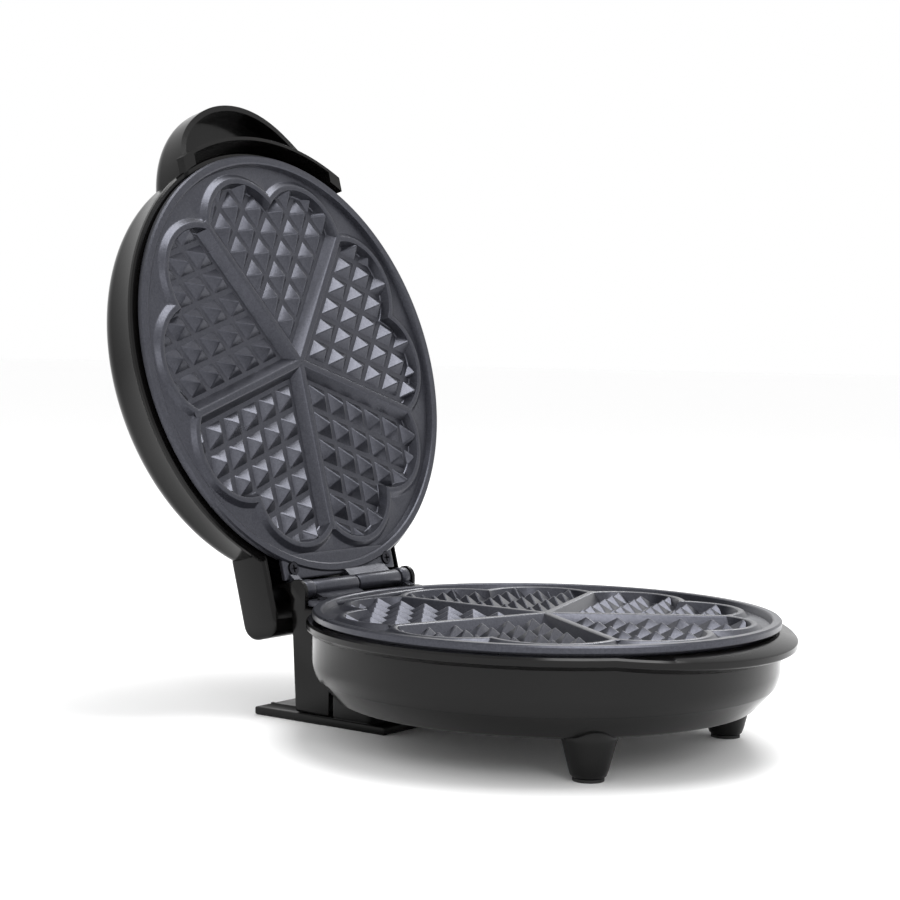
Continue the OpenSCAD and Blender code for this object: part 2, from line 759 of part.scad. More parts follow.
base_shell();
base_cover();
tower_cover();
foot_plate();
front_feet();
foot_pads();
cord_bush();
lower_plate();
lower_element();
lower_element_clamps();
lower_heat_shield();
lower_tab_screws();
base_cover_screws();
foot_plate_screws();
thermostat();
thermal_fuse();
terminal_block();
hinge_pin();
pin_clips();
lid_shell();
finger_guard();
grip_liner();
upper_plate();
upper_element();
upper_element_clamps();
upper_heat_shield();
upper_tab_screws();
upper_shield_screws();
lamp_lenses();
lamp_holder();
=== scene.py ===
import json
import math

import bpy
from mathutils import Matrix, Vector


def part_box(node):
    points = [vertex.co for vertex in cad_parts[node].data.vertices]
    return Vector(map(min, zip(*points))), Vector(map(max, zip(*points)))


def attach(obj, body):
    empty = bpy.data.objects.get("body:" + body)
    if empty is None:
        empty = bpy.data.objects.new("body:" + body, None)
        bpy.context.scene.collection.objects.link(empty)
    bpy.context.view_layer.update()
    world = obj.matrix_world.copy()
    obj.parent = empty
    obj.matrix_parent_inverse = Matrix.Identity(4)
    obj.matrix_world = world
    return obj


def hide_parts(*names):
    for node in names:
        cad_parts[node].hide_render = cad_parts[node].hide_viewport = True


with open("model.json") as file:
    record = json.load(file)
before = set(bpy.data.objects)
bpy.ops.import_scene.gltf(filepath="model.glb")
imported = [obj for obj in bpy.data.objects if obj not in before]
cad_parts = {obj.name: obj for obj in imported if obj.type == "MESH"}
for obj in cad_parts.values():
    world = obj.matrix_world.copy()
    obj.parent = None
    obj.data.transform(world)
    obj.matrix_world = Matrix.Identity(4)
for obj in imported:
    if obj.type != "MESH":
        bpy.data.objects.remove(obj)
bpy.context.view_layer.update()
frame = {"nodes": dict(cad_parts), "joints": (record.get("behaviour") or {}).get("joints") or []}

# ---------------------------------------------------------------- Room and camera
# White paper under the maker in an evenly white room. One big soft box hangs above it, a
# tall one stands to the right of the camera and a small one behind the maker.
mm = 0.001
hinge = Vector(frame["joints"][0]["pos_m"])
plate_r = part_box("lower_plate")[1].x / mm
hinge_reach = -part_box("lower_plate")[0].y / mm - plate_r
hinge_rise = 2.6
rim_h = hinge.z / mm - hinge_rise


def linear(code):
    """An sRGB hex colour as linear red, green, blue and alpha."""
    parts = [int(code[k:k + 2], 16) / 255 for k in (1, 3, 5)]
    return [p / 12.92 if p <= 0.04045 else ((p + 0.055) / 1.055) ** 2.4 for p in parts] + [1]


def in_use(sockets, name):
    """The socket of that name that is switched on, because a blend node has several of each."""
    return next(socket for socket in sockets if socket.name == name and socket.enabled)


def add(material, kind, settings, links=()):
    """Adds a node, sets its properties and sockets by name, and links its inputs."""
    node = material.node_tree.nodes.new(kind)
    for name, value in settings.items():
        if hasattr(node, name):
            setattr(node, name, value)
        else:
            in_use(node.inputs, name).default_value = value
    for name, source in links:
        material.node_tree.links.new(source, in_use(node.inputs, name))
    return node


def new_material(name):
    """A material with no nodes yet."""
    material = bpy.data.materials.new(name)
    material.use_nodes = True
    material.node_tree.nodes.clear()
    return material


def surface(material, settings, links=()):
    """The material's shader and its output."""
    shader = add(material, "ShaderNodeBsdfPrincipled", settings, links)
    add(material, "ShaderNodeOutputMaterial", {}, [("Surface", shader.outputs["BSDF"])])


def give(piece, material):
    """Makes the material the piece's only one."""
    piece.data.materials.clear()
    piece.data.materials.append(material)


def deselect():
    """Leaves nothing selected, so that an operator acts only on what is chosen next."""
    bpy.ops.object.select_all(action="DESELECT")


paper = new_material("matt_paper")
# Uncoated white paper: matt and even.
surface(paper, {"Base Color": linear("#fdfdfd"), "Roughness": 0.95})

deselect()
bpy.ops.mesh.primitive_plane_add(size=60, location=(0, 0, 0))
floor = bpy.context.object
floor.name = "paper_sweep"
give(floor, paper)

world = bpy.context.scene.world or bpy.data.worlds.new("room")
bpy.context.scene.world = world
world.use_nodes = True
world.node_tree.nodes["Background"].inputs["Color"].default_value = linear("#ffffff")
world.node_tree.nodes["Background"].inputs["Strength"].default_value = 1.0
bpy.context.scene.view_settings.view_transform = "Standard"


def soft_box(name, place, target, size, power):
    """A rectangular light at a place, turned to its target; metres and watts."""
    light = bpy.data.lights.new(name, "AREA")
    light.shape = "RECTANGLE"
    light.size, light.size_y = size
    light.energy = power
    lamp = bpy.data.objects.new(name, light)
    lamp.location = place
    lamp.rotation_euler = (Vector(target) - Vector(place)).to_track_quat("-Z", "Y").to_euler()
    bpy.context.collection.objects.link(lamp)


soft_box("overhead_box", (0.2, -0.3, 1.3), (0, -0.1, 0.05), (0.8, 0.7), 13)
soft_box("side_box", (-0.9, -1.5, 1.0), (0, 0, 0.1), (0.4, 0.7), 4)
soft_box("rear_box", (1.25, 0.35, 0.95), (0.05, -0.15, 0.05), (0.5, 0.35), 4)

# the camera stands low at the front left, three quarters of a metre from the lower plate
camera = bpy.data.objects.new("camera", bpy.data.cameras.new("camera"))
bpy.context.collection.objects.link(camera)
camera.data.lens = 74.69
camera.data.shift_x = -0.0203
camera.data.shift_y = 0.0488
camera.location = Vector((-630.3, -417.8 - hinge_reach, 101.5 + rim_h)) * mm
azimuth, elevation, roll = math.radians(-53.994), math.radians(4.123), math.radians(0.998)
back = Vector((math.sin(azimuth) * math.cos(elevation), -math.cos(azimuth) * math.cos(elevation),
               math.sin(elevation)))
right = Vector((math.cos(azimuth), math.sin(azimuth), 0))
up = back.cross(right)
across = right * math.cos(roll) + up * math.sin(roll)
along = up * math.cos(roll) - right * math.sin(roll)
facing = Matrix((across, along, back)).transposed().to_4x4()
camera.matrix_world = Matrix.Translation(camera.location) @ facing
bpy.context.scene.camera = camera

# ---------------------------------------------------------------- Base casing
# Upper shell of the base: a glossy black ABS moulding with a flange round the plate,
# turned as one closed wall, with the lip at the front drawn out of the flange.
flange_out, flange_drop = 2.5, 4.1
flange_r = plate_r + flange_out
flange_in = flange_r - 3.8
flange_corner = 0.8
parting_d = 26.5
wall = 2.5
lip_out, lip_centre = 8.5, 20
lip_r = plate_r + lip_out - lip_centre
lip_sink, neck_sink = 2.7, 4.0

gloss_abs = new_material("moulded_gloss_abs")
# Polished mould: a mirror-like black skin, with slow waves a few centimetres long and faint
# handling marks.
place = add(gloss_abs, "ShaderNodeTexCoord", {}).outputs["Object"]
waves = add(gloss_abs, "ShaderNodeTexNoise", {"Scale": 1 / 0.035, "Detail": 1.0},
            [("Vector", place)]).outputs["Fac"]
smears = add(gloss_abs, "ShaderNodeTexNoise", {"Scale": 1 / 0.006, "Detail": 4.0, "Roughness": 0.6},
             [("Vector", place)])
shine = add(gloss_abs, "ShaderNodeMapRange",
            {"From Min": 0.35, "From Max": 0.7, "To Min": 0.12, "To Max": 0.2},
            [("Value", smears.outputs["Fac"])])
tint = add(gloss_abs, "ShaderNodeMix",
           {"data_type": "RGBA", "A": linear("#060606"), "B": linear("#0d0c0c")}, [("Factor", waves)])
ripple = add(gloss_abs, "ShaderNodeBump", {"Strength": 0.08, "Distance": 0.0004}, [("Height", waves)])
surface(gloss_abs, {"IOR": 1.46, "Specular IOR Level": 0.24},
        [("Roughness", shine.outputs["Result"]), ("Normal", ripple.outputs["Normal"]),
         ("Base Color", in_use(tint.outputs, "Result"))])


def edit_all():
    """Opens the active piece for editing with everything in it selected."""
    bpy.ops.object.mode_set(mode="EDIT")
    bpy.ops.mesh.select_all(action="SELECT")


def turned(name, profile, middle=(0, 0), segments=256):
    """Turns a profile of (radius, height) points in mm about an upright axis; its ends stay open."""
    deselect()
    radius, height = profile[0]
    bpy.ops.mesh.primitive_circle_add(vertices=segments, radius=radius * mm,
                                      location=(middle[0] * mm, middle[1] * mm, height * mm))
    bpy.ops.object.transform_apply()
    piece = bpy.context.object
    piece.name = name
    edit_all()
    for wider, higher in profile[1:]:
        bpy.ops.mesh.extrude_region_move(TRANSFORM_OT_translate={"value": (0, 0, (higher - height) * mm)})
        share = wider / radius
        bpy.ops.transform.resize(value=(share, share, 1), center_override=(middle[0] * mm, middle[1] * mm, 0))
        radius, height = wider, higher
    bpy.ops.object.mode_set(mode="OBJECT")
    return piece


def close_up(piece):
    """Merges a ring's seam, caps open ends and turns the faces outwards."""
    bpy.context.view_layer.objects.active = piece
    edit_all()
    bpy.ops.mesh.remove_doubles(threshold=0.00001)
    bpy.ops.mesh.select_all(action="DESELECT")
    bpy.ops.mesh.select_non_manifold()
    bpy.ops.mesh.edge_face_add()
    bpy.ops.mesh.select_all(action="SELECT")
    bpy.ops.mesh.normals_make_consistent(inside=False)
    bpy.ops.object.mode_set(mode="OBJECT")


def solid(name, profile, middle=(0, 0), segments=256):
    """A closed turned piece: a ring where the profile ends where it began, and capped otherwise."""
    piece = turned(name, profile, middle, segments)
    close_up(piece)
    return piece


def arc(radius, x, y, start, end, steps=6):
    """Points of a round corner in a profile."""
    turns = [math.radians(start + (end - start) * k / steps) for k in range(steps + 1)]
    return [(x + radius * math.cos(turn), y + radius * math.sin(turn)) for turn in turns]


def pick(piece):
    """Makes the piece the only one that is selected, and the active one."""
    deselect()
    piece.select_set(True)
    bpy.context.view_layer.objects.active = piece


def modifier(piece, kind, settings):
    """Adds a modifier and applies it."""
    pick(piece)
    bpy.ops.object.modifier_add(type=kind)
    added = piece.modifiers[-1]
    for name, value in settings.items():
        setattr(added, name, value)
    bpy.ops.object.modifier_apply(modifier=added.name)


def carve(piece, tool, operation="DIFFERENCE"):
    """Cuts the tool away from the piece, or joins it, and removes the tool."""
    modifier(piece, "BOOLEAN", {"object": tool, "operation": operation, "solver": "MANIFOLD"})
    bpy.data.objects.remove(tool)


def smooth(piece, angle=32):
    """Shades the piece smooth, with a crease at every edge sharper than the angle."""
    pick(piece)
    bpy.ops.object.shade_smooth_by_angle(angle=math.radians(angle))


def soften(piece, width=0.5, angle=35, segments=2, harden=False):
    """Rounds the edges sharper than the angle; hardened, the flats keep their own shading."""
    if harden:
        pick(piece)
        bpy.ops.object.shade_smooth()
    modifier(piece, "BEVEL", {"width": width * mm, "segments": segments, "limit_method": "ANGLE",
                              "angle_limit": math.radians(angle), "use_clamp_overlap": True,
                              "harden_normals": harden})
    if not harden:
        smooth(piece, angle)


def merge(piece, others):
    """Makes the others part of the piece, each with its own smoothing."""
    pick(piece)
    for other in others:
        other.select_set(True)
    bpy.ops.object.join()


def block(name, low, high):
    """A rectangular solid between two corners, in mm."""
    deselect()
    size = [high[k] - low[k] for k in range(3)]
    bpy.ops.mesh.primitive_cube_add(size=1, location=[(low[k] + high[k]) / 2 * mm for k in range(3)])
    piece = bpy.context.object
    piece.scale = [s * mm for s in size]
    bpy.ops.object.transform_apply()
    piece.name = name
    return piece


def extruded(name, outline, low, high):
    """An outline of (y, z) points in mm, extruded along x from low to high."""
    deselect()
    bpy.ops.mesh.primitive_circle_add(vertices=len(outline), radius=mm)
    piece = bpy.context.object
    piece.name = name
    for vertex, point in zip(piece.data.vertices, outline):
        vertex.co = (low * mm, point[0] * mm, point[1] * mm)
    edit_all()
    bpy.ops.mesh.edge_face_add()
    bpy.ops.mesh.extrude_region_move(TRANSFORM_OT_translate={"value": ((high - low) * mm, 0, 0)})
    bpy.ops.mesh.select_all(action="SELECT")
    bpy.ops.mesh.normals_make_consistent(inside=False)
    bpy.ops.object.mode_set(mode="OBJECT")
    return piece


def on_base(piece):
    """Moves a piece from the plate's own frame to its place in the base."""
    piece.data.transform(Matrix.Translation(Vector((0, -hinge_reach, rim_h)) * mm))
    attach(piece, "base")


outside = ([(flange_in, -flange_drop), (flange_r - flange_corner, -flange_drop),
            (flange_r, -flange_drop - flange_corner), (flange_r, -flange_drop - 2.6)]
           + arc(flange_corner, flange_r - flange_corner, -flange_drop - 2.6, 0, -60, 3)
           + [(plate_r, -flange_drop - 4.9), (plate_r, -parting_d + 6.5),
              (plate_r - 0.25, -parting_d + 4.5), (plate_r - 0.7, -parting_d + 2.8),
              (plate_r - 1.25, -parting_d + 1.2), (plate_r - 1.8, -parting_d)])
inside = [(plate_r - 2.6, -parting_d), (plate_r - 5, -parting_d), (plate_r - wall - 1.6, -parting_d + 3),
          (plate_r - wall - 1, -flange_drop - 4), (flange_in, -flange_drop - 3.4)]
base_casing = turned("base_casing", outside + inside + outside[:1], segments=288)
for vertex in base_casing.data.vertices:
    x, y, height = (value / mm for value in vertex.co)
    radius = math.hypot(x, y)
    # the flange's edge runs out along an arc about a point in front of the plate's centre
    cosine = -y / radius
    reach = lip_centre * cosine + math.sqrt(lip_r ** 2 - (lip_centre * x / radius) ** 2)
    grow = max(0, (reach - flange_r) / (lip_out - flange_out)) if y < 0 else 0
    if radius > flange_r - 1 and height > -flange_drop - 3.5:
        edge = (lip_out - flange_out) * grow
        vertex.co.x += x / radius * edge * mm
        vertex.co.y += y / radius * edge * mm
        vertex.co.z -= lip_sink * grow * mm
    elif plate_r - 0.1 < radius < plate_r + 2.2 and height > -flange_drop - 6:
        vertex.co.z -= neck_sink * grow * mm
close_up(base_casing)

# ---------------------------------------------------------------- Rear tower
# Part of the same moulding: a box behind the bowl that carries the hinge, with a cheek
# at each end of the hinge barrel to hold the pin.
stand_t = 3.5
tower_half = 38
tower_front = plate_r - 13.3
tower_back = hinge_reach + 3.5
tower_d = rim_h - stand_t
tab_top = 0.8
cheek_in, cheek_r = 35.8, 4.8

tower = extruded("tower", [(tower_front, -tower_d), (tower_back - 3, -tower_d), (tower_back, -flange_drop),
                           (tower_front, -flange_drop)], -tower_half, tower_half)
soften(tower, 1.5, 35, 3)
bowl = solid("bowl", [(plate_r - 3.6, -tower_d - 5), (plate_r - 3.6, 0)])
carve(tower, bowl)
cheek_line = ([(hinge_reach - cheek_r, -flange_drop - 2.5), (tower_back, -flange_drop - 2.5),
               (tower_back, -0.4), (tower_back + 3.3, hinge_rise + 0.4),
               (tower_back + 7.6, hinge_rise + 0.6), (tower_back + 7.6, hinge_rise + 1.4)]
              + arc(cheek_r, hinge_reach, hinge_rise, 50, 175, 12)
              + [(hinge_reach - cheek_r, -tab_top - 1.6)])
for side in (-1, 1):
    cheek = extruded("cheek", cheek_line, *sorted((side * cheek_in, side * tower_half)))
    soften(cheek, 0.7, 30, 3)
    carve(tower, cheek, "UNION")
smooth(tower, 35)
smooth(base_casing)
merge(base_casing, [tower])
give(base_casing, gloss_abs)
on_base(base_casing)
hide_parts("base_shell")

# ---------------------------------------------------------------- Base cover
# Lower shell of the base: a shallow glossy dish whose edge meets the upper shell at the
# parting line, chamfered down to a flat bottom and cut out behind for the tower.
bottom_d = 38
centre_r = 0.05
dish = [(plate_r - 1.9, -parting_d - 0.05), (plate_r - 2.3, -parting_d - 0.6),
        (plate_r - 9.0, -bottom_d + 3.4), (plate_r - 9.9, -bottom_d + 2.8),
        (plate_r - 14.2, -bottom_d + 1.7), (plate_r - 19, -bottom_d + 0.8),
        (plate_r - 25, -bottom_d + 0.2), (plate_r - 27, -bottom_d), (centre_r, -bottom_d),
        (centre_r, -bottom_d + wall), (plate_r - 25, -bottom_d + wall),
        (plate_r - 12, -bottom_d + 5), (plate_r - 5, -parting_d - 0.3)]
base_dish = solid("base_dish", dish + dish[:1], segments=288)
notch = block("notch", (-tower_half - 0.3, tower_front - 0.3, -60), (tower_half + 0.3, plate_r + 20, 0))
carve(base_dish, notch)
smooth(base_dish)
give(base_dish, gloss_abs)
on_base(base_dish)
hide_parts("base_cover")

# ---------------------------------------------------------------- Foot plate
# Flat satin-black moulding behind the bowl, so that the open lid can't tip the maker
# over; a block on it carries the casing, and two low ribs stiffen it.
stand_half = tower_half + 1.5
stand_front, stand_back = plate_r - 43, hinge_reach + 22
rib_x, rib_t, rib_h = 30, 1.6, 0.7

satin_abs = new_material("fine_textured_abs")
# Spark-eroded mould: a fine grain under a tenth of a millimetre, drawn at 0.5 mm so that it shows.
place = add(satin_abs, "ShaderNodeTexCoord", {}).outputs["Object"]
grain = add(satin_abs, "ShaderNodeTexNoise", {"Scale": 1 / 0.0005, "Detail": 2.0}, [("Vector", place)])
dust = add(satin_abs, "ShaderNodeTexNoise", {"Scale": 1 / 0.012, "Detail": 5.0}, [("Vector", place)])
shine = add(satin_abs, "ShaderNodeMapRange",
            {"From Min": 0.3, "From Max": 0.7, "To Min": 0.32, "To Max": 0.46},
            [("Value", dust.outputs["Fac"])])
pits = add(satin_abs, "ShaderNodeBump", {"Strength": 0.12, "Distance": 0.00008},
           [("Height", grain.outputs["Fac"])])
surface(satin_abs, {"Base Color": linear("#090909"), "IOR": 1.46, "Specular IOR Level": 0.25},
        [("Roughness", shine.outputs["Result"]), ("Normal", pits.outputs["Normal"])])

foot = block("rear_foot", (-stand_half, stand_front, 0), (stand_half, stand_back, stand_t))
soften(foot, 0.9, 35, 3)
support = block("support", (-tower_half - 1, plate_r - 35, stand_t - 1),
                (tower_half + 1, plate_r - 13.8, rim_h - bottom_d))
soften(support, 2.5, 35, 4)
carve(foot, support, "UNION")
for side in (-1, 1):
    rib = block("rib", (side * rib_x - rib_t / 2, 84, stand_t - 1),
                (side * rib_x + rib_t / 2, stand_back - 1.5, stand_t + rib_h))
    soften(rib, 0.3, 35, 2)
    carve(foot, rib, "UNION")
foot.data.transform(Matrix.Translation((0, 0, -rim_h * mm)))
give(foot, satin_abs)
on_base(foot)
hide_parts("foot_plate")

# ---------------------------------------------------------------- Front feet
# Two hollow tapered feet of the same satin moulding, flared where they meet the dish
# and rounded at the bottom, each with a rubber pad under it.
foot_x, foot_y, pad_t = 53, 55.3, 1.2
foot_top = rim_h - bottom_d


def twin(piece):
    """A copy of a piece, with its own mesh."""
    one = piece.copy()
    one.data = piece.data.copy()
    bpy.context.collection.objects.link(one)
    return one


pattern = solid("front_foot", [(5.0, pad_t), (6.0, pad_t + 0.2), (6.8, pad_t + 0.9), (7.2, pad_t + 2),
                               (7.7, 4.8), (8.5, 8), (9.4, 11.5), (10.2, foot_top), (10.8, foot_top + 1.4),
                               (10.8, foot_top + 6)], segments=64)
for side, name in ((-1, "front_foot_left"), (1, "front_foot_right")):
    one = twin(pattern)
    one.data.transform(Matrix.Translation(Vector((side * foot_x, -foot_y, -rim_h)) * mm))
    one.name = name
    bowl = solid("bowl", [(2, -bottom_d), (plate_r - 27, -bottom_d), (plate_r - 19, -bottom_d + 0.8),
                          (plate_r - 9.9, -bottom_d + 2.8), (plate_r - 2.2, -parting_d), (2, -parting_d)])
    carve(one, bowl)
    soften(one, 0.2, 40, 2)
    give(one, satin_abs)
    on_base(one)
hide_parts("front_feet")
bpy.data.objects.remove(pattern)

# ---------------------------------------------------------------- Cooking plates
# Two identical pressure die-cast aluminium plates: rim, five hearts inside one bead,
# five ribs, rows of small pyramids, and a tab with half of the hinge barrel.
rim_w, rim_t, land_d, floor_d, crest_d = 4.8, 2.7, 2.8, 5.1, 0.7
skirt_r, back_d = plate_r - 3.8, floor_d + 4.5
hearts, half_heart = 5, 36
lobe_reach, lobe_angle, lobe_r = 59.8, 17.6, 22.3
rib_w, rib_crest, rib_reach = 4.65, 1.1, 76.5
pitch, groove_w = 12.57, 1.7
tab_half, tab_t = 37, 2.9
tab_edge = hinge_reach - 5.2
barrel_half, barrel_r, lug_r, end_gap = 29.3, 3.8, 4.3, 0.4
screw_x, screw_y = tab_half - 5.4, tab_edge - 4.8
screw_r, recess_r, recess_d = 1.8, 3.05, 1.2

coating = new_material("grey_nonstick_on_cast_aluminium")
# Sprayed and baked PTFE with metallic flakes: satin, finely orange-peeled, and mottled a shade
# lighter from flake to flake.
place = add(coating, "ShaderNodeTexCoord", {}).outputs["Object"]
peel = add(coating, "ShaderNodeTexNoise", {"Scale": 1 / 0.0009, "Detail": 3.0, "Roughness": 0.6},
           [("Vector", place)])
flakes = add(coating, "ShaderNodeTexVoronoi", {"Scale": 1 / 0.0006}, [("Vector", place)])
spread = add(coating, "ShaderNodeTexNoise", {"Scale": 1 / 0.03, "Detail": 3.0}, [("Vector", place)])
tint = add(coating, "ShaderNodeMix",
           {"data_type": "RGBA", "A": linear("#3a3b42"), "B": linear("#484950")},
           [("Factor", flakes.outputs["Color"])])
shine = add(coating, "ShaderNodeMapRange",
            {"From Min": 0.3, "From Max": 0.7, "To Min": 0.27, "To Max": 0.36},
            [("Value", spread.outputs["Fac"])])
skin = add(coating, "ShaderNodeBump", {"Strength": 0.25, "Distance": 0.0001},
           [("Height", peel.outputs["Fac"])])
surface(coating, {"Metallic": 0.75},
        [("Roughness", shine.outputs["Result"]), ("Normal", skin.outputs["Normal"]),
         ("Base Color", in_use(tint.outputs, "Result"))])


def flower(angle, radius):
    """Distance from the plate centre to the outline of the ten lobes, at an angle from a rib."""
    best = 0
    for heart in range(hearts):
        for side in (-1, 1):
            turn = angle - math.radians(half_heart * (1 + 2 * heart) + side * lobe_angle)
            sideways = lobe_reach * math.sin(turn)
            if abs(sideways) < radius and math.cos(turn) > 0:
                best = max(best, lobe_reach * math.cos(turn) + math.sqrt(radius ** 2 - sideways ** 2))
    return best


def to_lobes(ring, radius, turn=0):
    """Moves a ring of points to the outline of lobes of the given radius."""
    for vertex in ring:
        angle = math.atan2(vertex.co.x, vertex.co.y)
        reach = flower(angle + turn, radius)
        vertex.co.x, vertex.co.y = reach * math.sin(angle) * mm, reach * math.cos(angle) * mm


def turned_plate(name):
    """The plate as a disc: rim, land, and the bead round the hearts."""
    profile = [(2, -back_d), (skirt_r, -back_d), (skirt_r, -rim_t), (plate_r, -rim_t), (plate_r, -0.7),
               (plate_r - 0.7, 0), (plate_r - rim_w + 1.5, 0), (plate_r - rim_w + 0.9, -0.4),
               (plate_r - rim_w, -land_d), (plate_r - 6, -land_d)]
    bead = [(28.8, -land_d), (28.0, -land_d + 0.3), (26.5, -crest_d - 0.25), (25.9, -crest_d),
            (24.5, -crest_d), (23.9, -crest_d - 0.3), (22.5, -floor_d + 0.35), (22.1, -floor_d)]
    steps = 720
    body = turned(name, profile + [(70, z) for r, z in bead] + [(2, -floor_d)], segments=steps)
    for k, (radius, z) in enumerate(bead, len(profile)):
        to_lobes(body.data.vertices[k * steps:(k + 1) * steps], radius)
    close_up(body)
    return body


def add_ribs(body):
    """The five ribs between the hearts."""
    for k in range(hearts):
        rib = extruded("rib", [(-rib_w - 0.4, -floor_d - 0.5), (rib_w + 0.4, -floor_d - 0.5),
                               (rib_w, -floor_d), (rib_crest + 0.6, -crest_d - 0.5), (rib_crest, -crest_d),
                               (-rib_crest, -crest_d), (-rib_crest - 0.6, -crest_d - 0.5),
                               (-rib_w, -floor_d)], 0, rib_reach)
        rib.data.transform(Matrix.Rotation(math.radians(90 + 2 * half_heart * k), 4, "Z"))
        modifier(rib, "BEVEL", {"width": 0.25 * mm, "segments": 1, "limit_method": "ANGLE"})
        carve(body, rib, "UNION")


def add_pyramids(body):
    """The rows of pyramids, made for one heart, cut to its outline and copied to all."""
    slant, rise = math.sin(math.radians(half_heart)), math.cos(math.radians(half_heart))
    side = pitch - groove_w / math.sin(2 * math.radians(half_heart))
    start = (rib_w + groove_w / 2) / slant
    height = floor_d - crest_d + 0.4
    deselect()
    bpy.ops.mesh.primitive_cone_add(vertices=4, radius1=mm, radius2=0, depth=height * mm)
    pyramid = bpy.context.object
    pyramid.data.transform(Matrix.Diagonal((side * slant, side * rise, 1, 1)))
    pyramid.data.transform(Matrix.Translation((0, 0, (-floor_d - 0.3 + height / 2) * mm)))
    modifier(pyramid, "BEVEL", {"width": 0.35 * mm, "segments": 1, "limit_method": "ANGLE"})
    lobe_x = lobe_reach * math.sin(math.radians(lobe_angle))
    lobe_y = lobe_reach * math.cos(math.radians(lobe_angle))
    copies = []
    for i in range(8):
        for j in range(8):
            x = (j - i) * pitch * slant
            y = start + (i + j + 1) * pitch * rise
            if math.hypot(abs(x) - lobe_x, y - lobe_y) < lobe_r + 4 or math.hypot(x, y) < 50:
                one = twin(pyramid)
                one.data.transform(Matrix.Translation((x * mm, y * mm, 0)))
                copies.append(one)
    bpy.data.objects.remove(pyramid)
    heart = copies[0]
    merge(heart, copies[1:])
    outline = turned("outline", [(40, -floor_d - 0.35), (40, 0)], segments=720)
    to_lobes(outline.data.vertices, 23.6, math.radians(half_heart))
    close_up(outline)
    carve(heart, outline, "INTERSECT")
    for k in range(hearts):
        rows = twin(heart)
        rows.data.transform(Matrix.Rotation(math.radians(half_heart * (1 + 2 * k)), 4, "Z"))
        carve(body, rows, "UNION")
    bpy.data.objects.remove(heart)


def add_hinge_half(body, barrel_z):
    """The tab with its two screw recesses, the long barrel on one side and the lug on the other."""
    tab = block("tab", (-tab_half, plate_r - rim_w - 5, -tab_top - tab_t), (tab_half, tab_edge, -tab_top))
    soften(tab, 0.8, 35, 2)
    carve(body, tab, "UNION")
    barrel = (-barrel_half, -end_gap, barrel_r)
    lug = (barrel_half + 0.5, cheek_in - end_gap, lug_r)
    for low, high, radius in (barrel, lug):
        arm = extruded("arm", [(tab_edge - 3, -tab_top - tab_t), (tab_edge, -tab_top - tab_t),
                               (hinge_reach + radius * 0.5, barrel_z - radius * 0.86),
                               (hinge_reach - radius * 0.88, barrel_z - radius * 0.4),
                               (tab_edge - 3, -tab_top)], low + 0.6, high - 0.6)
        carve(body, arm, "UNION")
        deselect()
        bpy.ops.mesh.primitive_cylinder_add(vertices=64, radius=radius * mm, depth=(high - low) * mm,
                                            rotation=(0, math.pi / 2, 0),
                                            location=Vector(((low + high) / 2, hinge_reach, barrel_z)) * mm)
        bpy.ops.object.transform_apply()
        tube = bpy.context.object
        modifier(tube, "BEVEL", {"width": 0.5 * mm, "segments": 2, "limit_method": "ANGLE"})
        carve(body, tube, "UNION")
    for side in (-1, 1):
        recess = -tab_top - recess_d
        hole = solid("hole", [(screw_r, -6), (screw_r, recess), (recess_r, recess), (recess_r, 3)],
                     (side * screw_x, screw_y), 48)
        carve(body, hole)


def cooking_plate(name, barrel_z):
    """One plate face up, centred, with its rim's crest at height 0."""
    body = turned_plate(name)
    add_ribs(body)
    add_pyramids(body)
    add_hinge_half(body, barrel_z)
    smooth(body, 28)
    give(body, coating)
    return body


lower = cooking_plate("lower_waffle_plate", hinge_rise)
on_base(lower)
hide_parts("lower_plate")

# ---------------------------------------------------------------- Upper plate
# The same casting turned over and hung from the other half of the barrel. When the maker
# is shut, its rim lies a few millimetres above the lower one's.
rim_gap = 7
open_angle = frame["joints"][0]["range_deg"][1]
closed_to_open = (Matrix.Translation(hinge) @ Matrix.Rotation(math.radians(-open_angle), 4, "X")
                  @ Matrix.Translation(Vector((0, -hinge_reach, rim_gap - hinge_rise)) * mm))


def on_lid(piece):
    """Moves a piece from the lid's own frame, where z points away from the face, to the open lid."""
    piece.data.transform(closed_to_open)
    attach(piece, "lid")


upper = cooking_plate("upper_waffle_plate", rim_gap - hinge_rise)
upper.data.transform(Matrix.Rotation(math.pi, 4, "Y"))
on_lid(upper)
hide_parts("upper_plate")

# ---------------------------------------------------------------- Lid casing
# Glossy black ABS drum over the upper plate, with the handle hood at the front and the
# open shroud that hides the hinge, all one moulding.
lid_edge, crown, lid_round = 26.7, 6.3, 8
lid_top = lid_edge + crown
hood_r, hood_reach, ceiling = 50, plate_r - 22.8, 20
hood_edge = 11
shroud_half, shroud_end = tower_half + 7, hinge_reach + 17.1
shroud_edge, shroud_back, shroud_corner, shroud_wall = 3.9, 23.5, 7, 2

drum = ([(plate_r - 3, flange_drop), (flange_r - 0.7, flange_drop), (flange_r, flange_drop + 0.7),
         (flange_r, flange_drop + 2), (flange_r - 0.5, flange_drop + 2.6), (plate_r + 0.3, flange_drop + 3.4),
         (plate_r, flange_drop + 3.9)] + arc(lid_round, plate_r - lid_round, lid_edge - lid_round, 0, 80, 10)
        + [(plate_r * 0.8, lid_edge + crown * 0.3), (plate_r * 0.6, lid_top - crown * 0.36),
           (plate_r * 0.4, lid_top - crown * 0.16), (plate_r * 0.2, lid_top - crown * 0.04),
           (centre_r, lid_top)])
inner = [(centre_r, lid_top - wall), (plate_r * 0.5, lid_top - wall - 1.6),
         (plate_r - lid_round - 2, lid_edge - wall), (plate_r - wall, lid_edge - lid_round - 2),
         (plate_r - wall, flange_drop + 4), (plate_r - 3, flange_drop + 3)]
lid_case = solid("lid_casing", drum + inner + drum[:1], segments=288)

